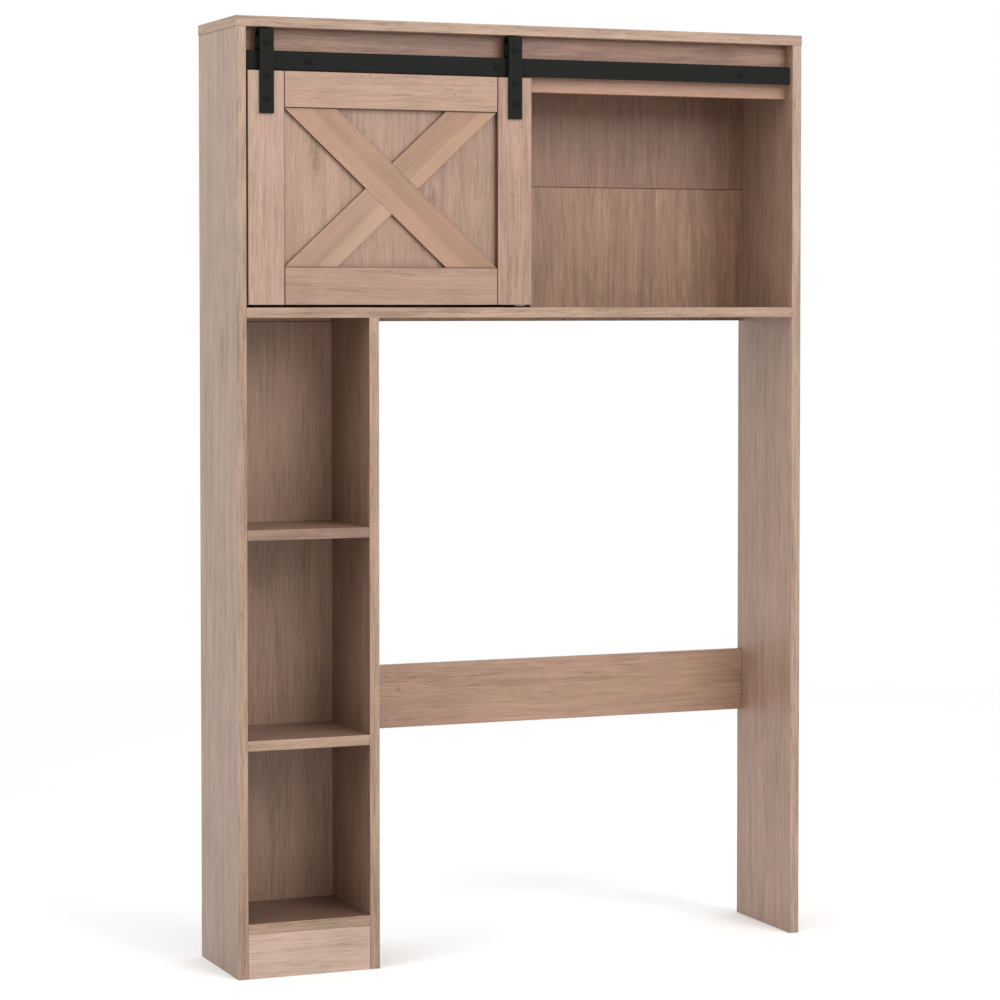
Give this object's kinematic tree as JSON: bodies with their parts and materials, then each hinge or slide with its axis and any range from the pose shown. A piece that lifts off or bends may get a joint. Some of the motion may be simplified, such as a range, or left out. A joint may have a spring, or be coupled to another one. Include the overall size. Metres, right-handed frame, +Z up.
{
  "type": "over-the-toilet storage cabinet",
  "caption": "Tall narrow-depth storage unit with a side shelf column, an open toilet bay and a top cabinet closed by a sliding barn door on a flat rail.",
  "frame": {"origin": "on the floor, at the centre of the unit's bounding box", "axes": "+Z up, +X to the viewer's right as the unit is faced, +Y from the front towards the wall"},
  "size_m": [1.082, 0.2256, 1.666],
  "materials": {
    "oak_laminate": "matt pinkish-brown oak laminate with fine grain",
    "back_board": "matt printed hardboard with the same oak grain",
    "beech": "plain fluted dowel wood",
    "black_steel": "satin black powder coat",
    "black_nylon": "moulded black nylon",
    "zinc_steel": "bright zinc plate"
  },
  "bodies": {
    "carcass": {"left_side_panel": "oak_laminate", "right_side_panel": "oak_laminate", "top_board": "oak_laminate", "cabinet_floor": "oak_laminate", "column_partition": "oak_laminate", "cabinet_divider": "oak_laminate", "header_board": "oak_laminate", "upper_column_shelf": "oak_laminate", "lower_column_shelf": "oak_laminate", "bottom_column_shelf": "oak_laminate", "kick_board": "oak_laminate", "rear_stretcher": "oak_laminate", "upper_cabinet_back": "back_board", "lower_cabinet_back": "back_board", "column_back": "back_board", "wood_dowels": "beech", "sliding_rail": "black_steel", "rail_spacers": "black_steel", "rail_bolts": "black_steel", "door_guide": "black_nylon", "rail_inserts": "zinc_steel", "guide_screws": "zinc_steel", "cam_bolts": "zinc_steel", "cam_locks": "zinc_steel", "cabinet_screws": "zinc_steel", "back_panel_screws": "zinc_steel", "wall_brackets": "zinc_steel", "bracket_screws": "zinc_steel"},
    "door": {"door_left_stile": "oak_laminate", "door_right_stile": "oak_laminate", "door_top_rail": "oak_laminate", "door_bottom_rail": "oak_laminate", "long_batten": "oak_laminate", "upper_half_batten": "oak_laminate", "lower_half_batten": "oak_laminate", "door_panel": "oak_laminate", "door_dowels": "beech", "left_hanger": "black_steel", "right_hanger": "black_steel", "axle_bolts": "black_steel", "axle_spacers": "black_steel", "axle_washers": "zinc_steel", "axle_nuts": "zinc_steel", "strap_bolts": "black_steel", "strap_nuts": "zinc_steel"},
    "left_roller": {"left_roller": "black_nylon"},
    "right_roller": {"right_roller": "black_nylon"}
  },
  "joints": [
    {"name": "door_slide", "type": "slide", "parent": "carcass", "child": "door", "axis": [1, 0, 0], "range_m": [0, 0.5135]},
    {"name": "left_roller_spin", "type": "hinge", "parent": "door", "child": "left_roller", "pos_m": [-0.486, -0.09575, 1.6063], "axis": [0, 1, 0], "continuous": true},
    {"name": "right_roller_spin", "type": "hinge", "parent": "door", "child": "right_roller", "pos_m": [-0.0275, -0.09575, 1.6063], "axis": [0, 1, 0], "continuous": true}
  ],
  "couplings": [
    {"joint": "left_roller_spin", "follows": "door_slide", "rad_per_m": 74.074},
    {"joint": "right_roller_spin", "follows": "door_slide", "rad_per_m": 74.074}
  ]
}
